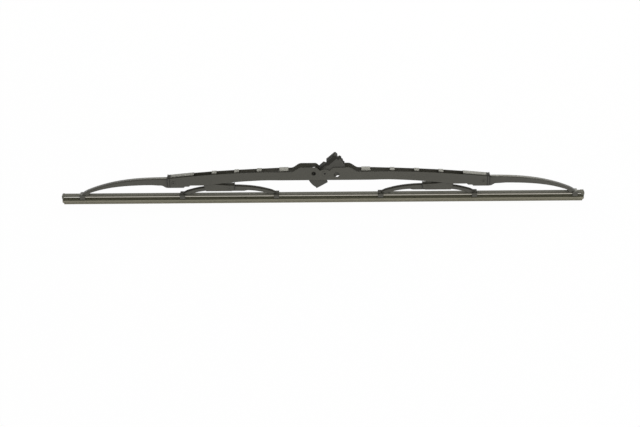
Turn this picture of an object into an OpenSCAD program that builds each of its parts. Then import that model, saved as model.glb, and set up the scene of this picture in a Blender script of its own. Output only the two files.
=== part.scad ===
// Bow-frame windscreen wiper blade, 600 mm, with a tilting clip adapter.
// Origin: middle of the adapter pivot. +X along the blade, +Z away from the glass, millimetres.

/* [Overall] */
// how far the strip reaches past the left end claw
overhang_left = 23.6; // [8:0.1:30]
// how far the strip reaches past the right end claw
overhang_right = 10.8; // [8:0.1:30]
// height of the adapter pivot above the wiping edge
pivot_height = 39.7; // [36:0.1:46]
// how far the pivot sits to the left of the middle of the frame
pivot_offset = 4.1; // [0:0.1:12]

/* [Primary bridge] */
// distance from the middle of the frame to each end of the bridge
bridge_half = 183.6; // [170:0.1:200]
// thickness of the bridge sheet
bridge_sheet = 1; // [0.7:0.05:1.4]
// outer bend radius of the bridge sheet
bridge_bend = 1.5; // [1.2:0.1:2.2]
// width of the bridge round the adapter
bridge_width_mid = 13.4; // [12.6:0.1:16]
// width of the bridge at its ends
bridge_width_end = 10.2; // [9.6:0.1:12]
// height of the web above the pivot in the middle of the bridge
bridge_top_mid = 2.9; // [1:0.1:4]
// how much lower the web is at the ends of the bridge
bridge_drop = 8; // [4:0.1:12]
// depth of the flanges below the pivot in the middle
bridge_bottom_mid = 8.2; // [6.5:0.1:10]
// depth of the flanges below the pivot at the ends
bridge_bottom_end = 17.5; // [16.6:0.1:19]
// height of the two steps in the lower edge, each
bridge_step = 1.4; // [0.5:0.1:1.45]
// height of the humped flanges beside the adapter, above the pivot
hump_height = 7.3; // [5:0.1:10]
// half length of the open hump
hump_half = 41.7; // [38:0.1:46]
// length of the wide tie next to the hump
wide_tie = 10.1; // [6:0.1:14]
// length of each narrow tie across the ladder
narrow_tie = 5.4; // [3:0.1:9]
// length of the closed web at each end of the bridge
end_web = 30; // [20:0.5:40]
// number of windows on each side of the adapter
window_count = 4; // [2:1:6]
// how far the flange edges lie below the web in a window
window_depth = 1.2; // [0.8:0.1:2]
// diameter of the small side hole
small_hole = 5; // [4:0.1:5.6]
// distance from the pivot to the small side hole
small_hole_at = 12.6; // [11.8:0.1:16]
// diameter of the large side hole
large_hole = 6.5; // [5:0.1:8]
// distance from the pivot to the large side hole
large_hole_at = 13.4; // [11:0.1:18]
// how far the large side hole lies below the pivot
large_hole_drop = 1.5; // [0:0.1:2.5]

/* [Outer yokes] */
// distance from each end of the bridge to the rivet of its outer yoke
outer_pivot_inset = 6.3; // [5.5:0.1:9]
// how far that rivet lies below the adapter pivot
outer_pivot_drop = 11.3; // [10.5:0.1:12.5]
// length of the outer arm, rivet to claw
outer_arm = 105.5; // [90:0.5:120]
// length of the inner arm, rivet to rivet
inner_arm = 63.6; // [58:0.1:70]
// thickness of the yoke sheet
yoke_sheet = 0.8; // [0.6:0.05:0.9]
// outer bend radius of the yoke sheet
yoke_bend = 1.3; // [1.1:0.1:1.6]
// reach of the inner arm past its rivet
inner_arm_reach = 5.6; // [4.5:0.1:8]

/* [Inner yokes] */
// half length of an inner yoke, rivet to claw
inner_yoke_half = 53.9; // [46:0.1:56]
// height of its rivet above the top of the strip
inner_pivot_height = 8.6; // [8.2:0.1:9]

/* [Claws] */
// length of a claw along the blade
claw_length = 6; // [4:0.1:9]
// thickness of the claw walls
claw_wall = 0.8; // [0.6:0.05:1]
// clearance between a claw and the strip
claw_gap = 0.3; // [0.2:0.05:0.4]
// outer corner radius of a claw
claw_round = 1.2; // [0.8:0.1:1.5]

/* [Joints] */
// diameter of the adapter rivet
pivot_d = 5; // [4:0.1:5.6]
// diameter of the yoke rivets
rivet_d = 3; // [2.5:0.1:3.6]
// height of the rivet heads
rivet_head = 0.6; // [0.3:0.05:0.8]
// running clearance all round between a rivet and the piece that turns on it
run_gap = 0.05; // [0.03:0.01:0.1]
// wall of the plastic liners in the yoke joints
liner_wall = 0.4; // [0.3:0.05:0.6]
// thickness of the collar that shows outside each liner
liner_collar = 0.7; // [0.4:0.1:1.2]

/* [Adapter] */
// tilt of the adapter as it rests
adapter_tilt = 42; // [0:1:90]
// clearance between the adapter and each flange
adapter_gap = 0.2; // [0.1:0.05:0.3]
// wall of the adapter
adapter_wall = 1.5; // [1.2:0.1:2]
// reach of the adapter head from the pivot
head_reach = 23.6; // [20:0.1:28]
// thickness of the ribbed thumb pad at its free end
pad_thick = 4.1; // [2:0.1:5]
// number of grip teeth down the front edge of the head
tooth_count = 3; // [2:1:5]
// radius of the tail about the pivot
tail_radius = 20.3; // [18:0.1:21]
// diameter of the hub that the wiper arm hooks round
hub_d = 8.6; // [7.5:0.1:10]
// number of grip ribs on the thumb pad
rib_count = 7; // [3:1:9]

/* [Rubber strip] */
// width of the rubber where the splines lie
rubber_width = 6.2; // [5.6:0.1:7]
// width of the wiping body
body_width = 5.8; // [5:0.1:6.4]
// width of the barb that keeps the claws on the strip
barb_width = 5; // [4.4:0.1:6]
// thickness of the upper flange over the splines
rubber_top = 0.9; // [0.6:0.1:1.4]
// thickness of the flange under the splines
rubber_shelf = 1.2; // [0.8:0.1:1.6]
// height of the groove that the claws grip
claw_groove = 1.5; // [1.4:0.05:2]
// height of the wiping body below that groove
wiping_height = 7.6; // [7:0.1:9]
// width of the wiping lip
lip_width = 0.7; // [0.5:0.05:1.2]
// thickness of a steel spline
spline_thick = 1; // [0.7:0.05:1.3]
// distance from the middle of the strip to the outer edge of a spline
spline_edge = 4.2; // [3.8:0.05:4.5]
// half width of the rubber between the splines
spline_core = 0.8; // [0.5:0.05:1.2]
// length of the solid end of the strip, left
end_block_left = 2.3; // [1:0.1:6]
// length of the solid end of the strip, right
end_block_right = 4; // [1:0.1:8]

/* [Hidden] */
$fn = 48;
bend_facets = 3;
black = [0.14, 0.14, 0.13];
plastic = [0.18, 0.18, 0.16];
rubber = [0.24, 0.24, 0.2];
steel = [0.72, 0.71, 0.66];
frame_mid = pivot_offset;
outer_pivot_at = bridge_half - outer_pivot_inset;
end_claw_at = outer_pivot_at + outer_arm;
wiping_edge = -pivot_height;
strip_top = wiping_edge + wiping_height + claw_groove + rubber_shelf + spline_thick + rubber_top;
groove_floor = wiping_edge + wiping_height;
shelf_floor = groove_floor + claw_groove;
spline_floor = shelf_floor + rubber_shelf;
strip_right = frame_mid + end_claw_at + overhang_right;
strip_left = frame_mid - end_claw_at - overhang_left;
strip_length = strip_right - strip_left;
bridge_inner_end = bridge_width_end / 2 - bridge_sheet;
outer_yoke_half = bridge_inner_end - liner_wall - run_gap;
inner_slot_half = outer_yoke_half - yoke_sheet;
inner_yoke_half_width = inner_slot_half - liner_wall - run_gap;
outer_pivot_z = -outer_pivot_drop;
inner_pivot_z = strip_top + inner_pivot_height;
adapter_half = bridge_width_mid / 2 - bridge_sheet - adapter_gap;
hub_half = adapter_half - adapter_wall;
claw_in = spline_edge + claw_gap;
claw_out = claw_in + claw_wall;
claw_floor = groove_floor + (claw_groove - claw_wall) / 2;
claw_roof = strip_top + claw_gap;
foot_floor = claw_roof + 0.1;

// soft step from a to b while x goes from x0 to x1
function ease(a, b, x0, x1, x) =
    a + (b - a) * (1 - cos(180 * min(1, max(0, (x - x0) / (x1 - x0))))) / 2;
// points of an arc, from angle a0 to angle a1
function arc(cx, cy, r, a0, a1, n) =
    [for (i = [0:n]) let (a = a0 + (a1 - a0) * i / n) [cx + r * cos(a), cy + r * sin(a)]];
// evenly spaced numbers from a to b, both included
function spread(a, b, n) = [for (i = [0:n]) a + (b - a) * i / n];

// U-shaped section of a bent sheet, top at height 0: points as [height, across]
function channel_section(half, sheet, bend, deep) =
    let (n = bend_facets, c = half - bend, inner = bend - sheet)
    concat([[-deep, -half]], arc(-bend, -c, bend, -90, 0, n), arc(-bend, c, bend, 0, 90, n),
        [[-deep, half], [-deep, half - sheet]], arc(-bend, c, inner, 90, 0, n),
        arc(-bend, -c, inner, 0, -90, n), [[-deep, sheet - half]]);
// straight stretch of channel from x0 to x1 with its top at height z
module level_channel(section, x0, x1, z) {
    translate([x0, 0, z]) slab_x(x1 - x0, [for (p = section) [p[1], p[0]]]);
}
// half space under the bend of a sheet, at one angle across it, as a prism along the blade
module bend_prism(tops, half, bend, angle) {
    rotate([-angle, 0, 0]) slab(90, concat([for (p = tops) [p[0], (p[1] - bend) * cos(angle)
        + (half - bend) * sin(abs(angle)) + bend]], [[tops[len(tops) - 1][0], -90], [tops[0][0], -90]]));
}
// channel of bent sheet that follows the upper points and ends at the lower points,
// both lists of [x, z] in order of x
module bent_channel(tops, bottoms, half, sheet, bend) {
    n = len(tops) - 1;
    under = [for (p = tops) [p[0], p[1] - sheet]];
    difference() {
        intersection() {
            slab(half, concat(tops, backward(bottoms)));
            bend_prism(tops, half, bend, 30);
            bend_prism(tops, half, bend, -30);
            bend_prism(tops, half, bend, 60);
            bend_prism(tops, half, bend, -60);
        }
        slab(half - sheet, concat([[under[0][0] - 1, under[0][1]]], under,
            [[under[n][0] + 1, under[n][1]], [under[n][0] + 1, -90], [under[0][0] - 1, -90]]));
    }
}
function backward(v) = [for (i = [len(v) - 1:-1:0]) v[i]];

// flat outline in x and z, made as thick as the given half width on both sides
module slab(half, points) {
    translate([0, half, 0]) rotate([90, 0, 0]) linear_extrude(2 * half) polygon(points);
}

// round bar or bore across the blade
module across(x, z, d, half) {
    translate([x, half, z]) rotate([90, 0, 0]) cylinder(h = 2 * half, d = d);
}

// rivet across the blade with a low head on each side
module rivet(x, z, d, half, head_d, head_h, dimple) {
    translate([x, 0, z]) rotate([90, 0, 0]) difference() {
        union() {
            cylinder(h = 2 * half, d = d, center = true);
            for (side = [0, 1]) mirror([0, 0, side]) translate([0, 0, half])
                rotate_extrude() polygon([[0, 0], [head_d / 2, 0], [head_d / 2, head_h * 0.4],
                    [head_d / 2 - head_h * 0.6, head_h], [0, head_h]]);
        }
        for (side = [0, 1]) mirror([0, 0, side]) translate([0, 0, half + head_h - dimple])
            cylinder(h = 2 * dimple, d = dimple * 2);
    }
}

// primary bridge: height of its web along the blade
function web_z(x) = let (d = max(0, abs(x - frame_mid) - hump_half), s = bridge_half - hump_half)
    bridge_top_mid - bridge_drop * pow(d / s, 2);
// lower edge of the flanges: straight, then bowed down, then two steps to the joint
function flange_z(x) = let (d = abs(x - frame_mid), s0 = 1.45 * hump_half, s1 = bridge_half - 41,
    arm = -bridge_bottom_end + 2 * bridge_step, t = min(1, max(0, (d - s0) / (s1 - s0))))
    -bridge_bottom_mid + (arm + bridge_bottom_mid) * pow(t, 1.6)
    + ease(0, -bridge_step, bridge_half - 25.4, bridge_half - 24, d)
    + ease(0, -bridge_step, bridge_half - 19.4, bridge_half - 18, d);
// upper edge of the humped flanges
function hump_z(x) = ease(bridge_top_mid - window_depth, hump_height,
    hump_half - 3.1, hump_half - 14.7, abs(x));

// places along x where the upper edge of one side has a corner: ends of ties and windows
function tie_from(side) = side * (hump_half + wide_tie);
function tie_pitch(side) = (frame_mid + side * (bridge_half - end_web) - tie_from(side)
    + side * narrow_tie) / window_count;
function tie_marks(side) = concat([side * hump_half],
    [for (i = [0:window_count - 1]) each [tie_from(side) + i * tie_pitch(side),
        tie_from(side) + (i + 1) * tie_pitch(side) - side * narrow_tie]],
    [frame_mid + side * bridge_half]);
// solid bridge block, smaller all round by the given inset, apart from its open lower side
module bridge_block(inset) {
    high = hump_height + 4;
    crown = concat([for (x = backward(tie_marks(-1))) [x, web_z(x) - inset]],
        [[0.01 - hump_half, high], [hump_half - 0.01, high]],
        [for (x = tie_marks(1)) [x, web_z(x) - inset]]);
    ds = concat([0, 18, 18.7, 19.4, 24, 24.7, 25.4, 33, 41], spread(49, 123, 9));
    below = inset > 0 ? 6 : 0;
    lower = concat([for (d = ds) frame_mid + bridge_half - d],
        [for (d = backward(ds)) frame_mid - bridge_half + d]);
    intersection() {
        slab(bridge_width_mid, concat(crown, [for (x = lower) [x, flange_z(x) - below]]));
        translate([0, 0, -60]) linear_extrude(100) bridge_plan(inset);
    }
}
// outline of the bridge from above: wide in the middle, tapered across the first windows
module bridge_plan(inset) {
    m = bridge_width_mid / 2 - inset;
    e = bridge_width_end / 2 - inset;
    q = e + (m - e) * 0.3;
    past = inset > 0 ? 1 : 0;
    r = tie_marks(1);
    l = tie_marks(-1);
    right = [[r[1], m], [r[2], q], [r[3], q], [r[4], e],
        [r[len(r) - 1] + past, e]];
    left = [[l[1], m], [l[2], q], [l[3], q], [l[4], e],
        [l[len(l) - 1] - past, e]];
    side = concat(backward(left), right);
    polygon(concat(side, [for (p = backward(side)) [p[0], -p[1]]]));
}
// half width of the bridge at the middle of tie number i, counted from the adapter
function tie_half(i) = let (m = bridge_width_mid / 2, e = bridge_width_end / 2)
    i == 0 ? m : i == 1 ? e + (m - e) * 0.3 : e;
// rounds both top corners of the web over tie number i
module bend_cut(side, i) {
    marks = tie_marks(side);
    x0 = marks[2 * i];
    x1 = marks[2 * i + 1];
    half = tie_half(i);
    b = bridge_bend;
    a = atan2(web_z(x1) - web_z(x0), abs(x1 - x0));
    corner = concat([[half - b, 1], [half + 1, 1], [half + 1, -b]],
        arc(half - b, -b, b, 0, 90, bend_facets + 1));
    translate([x0, 0, web_z(x0)]) mirror([side < 0 ? 1 : 0, 0, 0]) rotate([0, -a, 0])
        for (flip = [0, 1]) mirror([0, flip, 0]) translate([-0.05, 0, 0])
            slab_x(norm([x1 - x0, web_z(x1) - web_z(x0)]) + (i == window_count ? 1 : 0.1), corner);
}
module bridge_windows() {
    for (side = [-1, 1]) {
        marks = tie_marks(side);
        for (i = [0:window_count - 1]) {
            x0 = marks[2 * i + 1];
            x1 = marks[2 * i + 2];
            slab(bridge_width_mid, [[x0, web_z(x0) - window_depth], [x1, web_z(x1) - window_depth],
                [x1, 30], [x0, 30]]);
        }
        for (i = [0:window_count]) bend_cut(side, i);
    }
}

// opening over the adapter: hump, a notch each side of the pivot and a round boss between them
module hump_opening() {
    boss_r = 8.5;
    boss_top = 5.2;
    notch = 5.3;
    notch_z = boss_top - boss_r + sqrt(boss_r * boss_r - notch * notch);
    shoulder = notch + hump_height - notch_z;
    rise = [for (x = spread(-hump_half, -hump_half + 15, 10)) [x, hump_z(x)]];
    fall = [for (i = [len(rise) - 1:-1:0]) [-rise[i][0], rise[i][1]]];
    a = asin(notch / boss_r);
    slab(bridge_width_mid, concat(rise, [[-shoulder - 1.2, hump_height], [-shoulder, hump_height - 0.5]],
        arc(0, boss_top - boss_r, boss_r, 90 + a, 90 - a, 10),
        [[shoulder, hump_height - 0.5], [shoulder + 1.2, hump_height]], fall,
        [[hump_half, 30], [-hump_half, 30]]));
}

module primary_bridge() {
    wide = bridge_width_mid;
    color(black) difference() {
        bridge_block(0);
        bridge_block(bridge_sheet);
        bridge_windows();
        hump_opening();
        across(0, 0, pivot_d, wide);
        across(-small_hole_at, 0, small_hole, wide);
        across(large_hole_at, -large_hole_drop, large_hole, wide);
        for (side = [-1, 1])
            across(frame_mid + side * outer_pivot_at, outer_pivot_z, rivet_d, wide);
    }
}

module centre_rivet() {
    color(steel * 0.5) rivet(0, 0, pivot_d, bridge_width_mid / 2, pivot_d + 1.6, 0.4, 1.1);
}

// joints: places measured outward from each rivet
module at_outer_joint(side) {
    translate([frame_mid + side * outer_pivot_at, 0, 0]) mirror([side < 0 ? 1 : 0, 0, 0]) children();
}
module at_inner_joint(side) {
    translate([frame_mid + side * (outer_pivot_at - inner_arm), 0, 0])
        mirror([side < 0 ? 1 : 0, 0, 0]) children();
}
module outer_rivet(side) {
    color(steel * 0.5) at_outer_joint(side)
        rivet(0, outer_pivot_z, rivet_d, bridge_width_end / 2, rivet_d + 1.4, rivet_head, 0.75);
}
module inner_rivet(side) {
    color(steel * 0.5) at_inner_joint(side)
        rivet(0, inner_pivot_z, rivet_d, outer_yoke_half, rivet_d + 1.2, rivet_head * 0.8, 0.4);
}

// plastic liner: a thin channel inside the metal one, with a collar past its end;
// x is the distance outward from the rivet, and the roof slopes down by the given angle
module liner(inside, back, front, z, slope, deep, lip, pin_z) {
    color(plastic) difference() {
        translate([front, 0, z]) {
            rotate([0, slope, 0]) level_channel(channel_section(inside, liner_wall,
                liner_wall + 0.02, deep), -back - front, liner_collar * 0.8, 0);
            level_channel(channel_section(inside + lip, liner_wall + lip, liner_wall + lip + 0.02,
                deep + lip), 0, liner_collar, lip);
        }
        across(0, pin_z, rivet_d, inside + 1);
    }
}
// outline in y and z, made as long as the given length along +x
module slab_x(length, points) {
    rotate([90, 0, 90]) linear_extrude(length) polygon(points);
}
module outer_liner(side) {
    marks = tie_marks(side);
    x0 = marks[len(marks) - 2];
    x1 = marks[len(marks) - 1];
    slope = atan2(web_z(x0) - web_z(x1), abs(x1 - x0));
    at_outer_joint(side) liner(bridge_inner_end, 5, bridge_half - outer_pivot_at,
        web_z(x1) - bridge_sheet, slope, 10.2, bridge_sheet + 0.5, outer_pivot_z);
}
module inner_liner(side) {
    at_inner_joint(side) mirror([1, 0, 0]) liner(inner_slot_half, 4.5, inner_arm_reach,
        inner_crown - yoke_sheet, 0, 5.2, yoke_sheet + 0.3, inner_pivot_z);
}

// C-shaped claw round the top of the strip, with lips in the groove
module claw(x) {
    r = claw_round;
    ri = 0.4;
    lip = spline_core + 0.9;
    top = claw_roof + claw_wall + 0.1;
    o = claw_out;
    i = claw_in;
    translate([x - claw_length / 2, 0, 0]) slab_x(claw_length, concat(
        [[lip, claw_floor]], arc(o - r * 0.6, claw_floor + r * 0.6, r * 0.6, -90, 0, 4),
        arc(o - r, top - r, r, 0, 90, 5), arc(r - o, top - r, r, 90, 180, 5),
        arc(r * 0.6 - o, claw_floor + r * 0.6, r * 0.6, 180, 270, 4),
        [[-lip, claw_floor], [-lip, claw_floor + claw_wall]],
        arc(ri - i, claw_floor + claw_wall + ri, ri, 270, 180, 3),
        arc(ri - i, claw_roof - ri, ri, 180, 90, 3),
        arc(i - ri, claw_roof - ri, ri, 90, 0, 3),
        arc(i - ri, claw_floor + claw_wall + ri, ri, 0, -90, 3), [[lip, claw_floor + claw_wall]]));
}

// outer yokes
// s is the distance from the rivet: positive to the claw, negative to the inner joint
yoke_crown = outer_pivot_z + 4.05;
inner_crown = inner_pivot_z + 3.9;
yoke_tip = inner_arm + inner_arm_reach;
function yoke_top(s) = s >= 0
    ? yoke_crown - (yoke_crown - claw_roof - 2.3) * pow(s / outer_arm, 2.9)
        - ease(0, 1.1, outer_arm - 4, outer_arm, s)
    : ease(yoke_crown, inner_crown, 0, yoke_tip, -s);
function yoke_bottom(s) = let (lobe = outer_pivot_z - 6.8, deep = inner_pivot_z - 3.9,
    arm = yoke_crown - 7.15 - ease(0.8, 0, 14, 28, s) - 13.5 * pow(max(0, s) / outer_arm, 3.8))
    s > 20 ? ease(arm, foot_floor, outer_arm - 9.5, outer_arm - 6.5, s)
    : s > 0 ? ease(lobe, arm, 7.5, 14, s)
    : s > -22 ? ease(lobe, yoke_crown - 7.05, 7.5, 13, -s)
    : ease(yoke_crown - 7.05, deep, inner_arm - 30, inner_arm - 26.5, -s)
        + ease(0, 2.2, yoke_tip - 2.5, yoke_tip, -s);
module outer_yoke(side) {
    end = outer_arm + 0.8;
    high = concat(spread(-yoke_tip, -4, 12), spread(14, outer_arm - 20, 9),
        spread(outer_arm - 16, end, 5));
    low = concat(spread(-yoke_tip, -yoke_tip + 2.5, 3), spread(-inner_arm + 26.5, -inner_arm + 30, 4),
        spread(-13, -7.5, 4), spread(7.5, 14, 5), spread(18, outer_arm - 11, 10),
        spread(outer_arm - 9.5, outer_arm - 6.5, 3), [end]);
    color(black) at_outer_joint(side) difference() {
        union() {
            bent_channel([for (s = high) [s, yoke_top(s)]], [for (s = low) [s, yoke_bottom(s)]],
                outer_yoke_half, yoke_sheet, yoke_bend);
            claw(outer_arm);
        }
        across(0, outer_pivot_z, rivet_d + 2 * run_gap, bridge_width_end);
        across(-inner_arm, inner_pivot_z, rivet_d, bridge_width_end);
    }
}

// inner yokes: d is the distance from the rivet
tie_crown = inner_pivot_z + 2.3;
function tie_top(d) = tie_crown - (tie_crown - claw_roof - 2.2) * pow(d / inner_yoke_half, 2.5)
    - ease(0, 1.1, inner_yoke_half - 4, inner_yoke_half, d);
function tie_bottom(d) = let (arm = tie_crown - 5.4 - 9.3 * pow(d / inner_yoke_half, 3.7))
    d > 24 ? ease(arm, foot_floor, inner_yoke_half - 10.5, inner_yoke_half - 7.5, d)
    : ease(inner_pivot_z - 4.2, arm, 16.5, 21.5, d);
function both_ways(v) = concat([for (i = [len(v) - 1:-1:0]) -v[i]], v);
module inner_yoke(side) {
    h = inner_yoke_half;
    high = both_ways(concat([4], spread(11, h - 8, 6), spread(h - 5, h + 0.8, 2)));
    low = both_ways(concat(spread(16.5, 21.5, 4), spread(25, h - 12, 4), spread(h - 10.5, h - 7.5, 3),
        [h + 0.8]));
    color(black) at_inner_joint(side) difference() {
        union() {
            bent_channel([for (d = high) [d, tie_top(abs(d))]],
                [for (d = low) [d, tie_bottom(abs(d))]],
                inner_yoke_half_width, yoke_sheet, yoke_bend - 0.2);
            for (end = [-1, 1]) claw(end * h);
        }
        across(0, inner_pivot_z, rivet_d + 2 * run_gap, bridge_width_end);
    }
}

// adapter, drawn level, then tilted: u along the head, w up from the pivot
module adapter() {
    low = 11.6;
    pad = 8.35;
    roof = pad - 1.4;
    edge = 5;
    pad_low = pad - pad_thick;
    front = [[head_reach - 1.9, pad_low - 2.3], [head_reach + 0.2, pad_low - 2.7],
        [head_reach + 0.7, pad_low - 3.5], [head_reach - 1.5, 1.6 - low]];
    color(plastic) rotate([0, -adapter_tilt, 0]) difference() {
        union() {
            // side walls with the tail
            difference() {
                slab(adapter_half, concat([[head_reach - 1.9, roof], [9.2, roof], [7.8, edge]],
                    [[-sqrt(tail_radius * tail_radius - edge * edge), edge]],
                    arc(0, 0, tail_radius, 166, 197, 8),
                    [[-19.8, -7.6], [-14.3, -8.9], [-5.3, -10.7], [-3.8, -7.8], [-0.6, -7.8],
                    [1, -low], [head_reach - 2.6, -low]], backward(front)));
                slab(hub_half, concat([[head_reach + 2, roof - 1.2], [8, roof - 1.2], [6.5, 20],
                    [-tail_radius, 20], [-tail_radius, edge]],
                    arc(0, 0, tail_radius - adapter_wall, 166, 197, 8),
                    [[-17, -20], [head_reach + 2, -20]]));
            }
            // grip teeth down the front edge
            difference() {
                for (i = [0:tooth_count - 1]) let (t = (i + 0.35) / tooth_count)
                    across(front[2][0] + (front[3][0] - front[2][0]) * t - 0.25,
                        front[2][1] + (front[3][1] - front[2][1]) * t, 1.8, adapter_half);
                across(head_reach, front[2][1], 30, hub_half);
            }
            // thumb pad, thicker at its free end, with ribs across it
            slab(adapter_half, [[9.2, roof - 0.1], [head_reach - 2.1, roof - 0.1],
                [head_reach - 2.1, pad_low], [head_reach - 0.2, pad_low], [head_reach, pad_low + 0.4],
                [head_reach, pad - 0.9], [head_reach - 0.9, pad], [10, pad], [9.2, pad - 0.8]]);
            for (i = [0:rib_count - 1])
                across(10.7 + i * (head_reach - 12.6) / (rib_count - 1), pad, 1.1, adapter_half - 0.4);
            // nose and hub that the arm hooks round
            slab(hub_half + 0.1, [[-4.2, 0], [-2.6, pad - 0.6], [-1.8, pad], [5.6, pad + 0.3],
                [6.6, pad - 0.8], [7.9, edge - 0.2], [4.2, 0]]);
            across(0, 0, hub_d, hub_half + 0.1);
        }
        across(0, 0, pivot_d + 2 * run_gap, adapter_half + 1);
    }
}

// rubber strip with its splines
module wiper_rubber() {
    neck = 0.6;
    w = rubber_width / 2;
    body = body_width / 2;
    barb = barb_width / 2;
    z = wiping_edge;
    half = [[lip_width / 2, z], [lip_width / 2, z + 1.5], [1.2, z + 2.6], [body, z + 3.6],
        [body, groove_floor - 1.65], [neck, groove_floor - 1.55], [neck, groove_floor - 1.05],
        [barb, groove_floor - 0.95], [barb, groove_floor], [spline_core + 0.4, groove_floor],
        [spline_core + 0.4, shelf_floor], [w, shelf_floor], [w, spline_floor],
        [spline_core, spline_floor], [spline_core, spline_floor + spline_thick],
        [w, spline_floor + spline_thick], [w, strip_top - 0.3], [w - 0.3, strip_top]];
    flip = [for (i = [len(half) - 1:-1:0]) [-half[i][0], half[i][1]]];
    ends = [[strip_left, end_block_left], [strip_right - end_block_right, end_block_right]];
    color(rubber) difference() {
        union() {
            translate([strip_left, 0, 0]) slab_x(strip_length, concat(half, flip));
            // solid ends that stop the splines
            for (e = ends) translate([e[0], 0, 0]) slab_x(e[1], [[-spline_edge, shelf_floor],
                [spline_edge, shelf_floor], [spline_edge, strip_top - 1], [spline_edge - 1, strip_top],
                [1 - spline_edge, strip_top], [-spline_edge, strip_top - 1]]);
        }
        // lower corners of the lip, cut back at both ends
        for (side = [0, 1]) translate([side * (strip_left + strip_right), 0, 0]) mirror([side, 0, 0])
            slab(6, [[strip_left - 1, z - 1], [strip_left + 1.6, z - 1], [strip_left + 1.6, z + 2.5],
                [strip_left + 0.8, z + 4.5], [strip_left - 1, z + 6]]);
    }
}
module spline(side) {
    length = strip_length - end_block_left - end_block_right;
    color(steel) translate([strip_left + end_block_left, 0, spline_floor])
        translate([0, side < 0 ? -spline_edge : spline_core, 0])
            cube([length, spline_edge - spline_core, spline_thick]);
}

primary_bridge();
centre_rivet();
adapter();
outer_rivet(-1);  // outer_rivet_left
outer_rivet(1);  // outer_rivet_right
outer_liner(-1);  // outer_liner_left
outer_liner(1);  // outer_liner_right
outer_yoke(-1);  // outer_yoke_left
outer_yoke(1);  // outer_yoke_right
inner_rivet(-1);  // inner_rivet_left
inner_rivet(1);  // inner_rivet_right
inner_liner(-1);  // inner_liner_left
inner_liner(1);  // inner_liner_right
inner_yoke(-1);  // inner_yoke_left
inner_yoke(1);  // inner_yoke_right
wiper_rubber();
spline(-1);  // spline_front
spline(1);  // spline_back
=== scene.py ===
"""Looks of a bow-frame windscreen wiper blade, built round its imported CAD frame.

Metres. +X runs along the blade, +Y across it and +Z away from the glass.
The origin is the middle of the adapter pivot.
"""

import math

import bmesh
import bpy
from bpy.props import FloatProperty, FloatVectorProperty, PointerProperty
from mathutils import Matrix, Vector


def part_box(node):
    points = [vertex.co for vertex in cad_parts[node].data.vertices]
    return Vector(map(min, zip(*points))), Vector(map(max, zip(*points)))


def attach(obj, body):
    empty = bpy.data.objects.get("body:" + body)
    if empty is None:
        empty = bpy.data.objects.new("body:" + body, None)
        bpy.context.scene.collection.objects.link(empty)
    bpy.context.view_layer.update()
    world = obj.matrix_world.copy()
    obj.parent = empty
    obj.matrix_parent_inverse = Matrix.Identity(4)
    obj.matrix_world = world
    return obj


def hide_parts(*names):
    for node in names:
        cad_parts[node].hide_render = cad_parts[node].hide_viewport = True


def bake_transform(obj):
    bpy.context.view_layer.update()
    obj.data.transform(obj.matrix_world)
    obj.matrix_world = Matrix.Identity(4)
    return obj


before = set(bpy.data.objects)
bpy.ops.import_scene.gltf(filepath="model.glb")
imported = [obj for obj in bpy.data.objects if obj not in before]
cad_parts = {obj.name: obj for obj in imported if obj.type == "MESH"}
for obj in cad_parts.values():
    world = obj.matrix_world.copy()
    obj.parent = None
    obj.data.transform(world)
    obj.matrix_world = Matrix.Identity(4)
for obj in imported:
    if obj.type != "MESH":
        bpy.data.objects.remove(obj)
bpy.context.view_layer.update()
MM = 0.001

bl_info = {
    "name": "Bow-frame wiper blade",
    "version": (1, 0, 0),
    "blender": (4, 5, 0),
    "location": "3D View > Sidebar > Wiper",
    "description": "Gives the wiper blade's frame its rubber strip, splines, finishes and studio",
    "category": "Object",
}

RUBBER_LOW, RUBBER_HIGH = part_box("wiper_rubber")
SPLINE_LOW, SPLINE_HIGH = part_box("spline_back")
BRIDGE_LOW, BRIDGE_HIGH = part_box("primary_bridge")
# half a claw's length along the blade
CLAW_HALF = 3 * MM
# middles of the six claws, from left to right
CLAWS = [
    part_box("outer_yoke_left")[0].x + CLAW_HALF,
    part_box("inner_yoke_left")[0].x + CLAW_HALF,
    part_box("inner_yoke_left")[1].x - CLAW_HALF,
    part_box("inner_yoke_right")[0].x + CLAW_HALF,
    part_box("inner_yoke_right")[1].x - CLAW_HALF,
    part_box("outer_yoke_right")[1].x - CLAW_HALF,
]
RINGS = ("outer", "inner")
SIDES = ("left", "right")
# the upward part of a normal past which its face counts as facing up
UPWARD = 0.3
# and past which it counts as level
LEVEL = 0.7
# the surface turns by more than this at a corner
CORNER_TURN = math.radians(50)
# places closer together than this are the same
NEAR = 0.1 * MM
# how far the adapter leans on its pivot
ADAPTER_LEAN = math.radians(42)
# the photograph's width and the pivot's place right of and above its middle, in pixels
PHOTO_WIDTH = 640
PIVOT_RIGHT = 4.8
PIVOT_UP = 42.42
# the camera sensor's width in millimetres
SENSOR_WIDTH = 36.0


def length(name, description, default):
    """A length setting, in metres."""
    return FloatProperty(
        name=name, description=description, default=default, unit="LENGTH", precision=5
    )


def colour(name, description, default):
    """A colour setting, linear."""
    return FloatVectorProperty(
        name=name,
        description=description,
        default=default,
        subtype="COLOR",
        size=3,
        min=0.0,
        max=1.0,
    )


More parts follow.
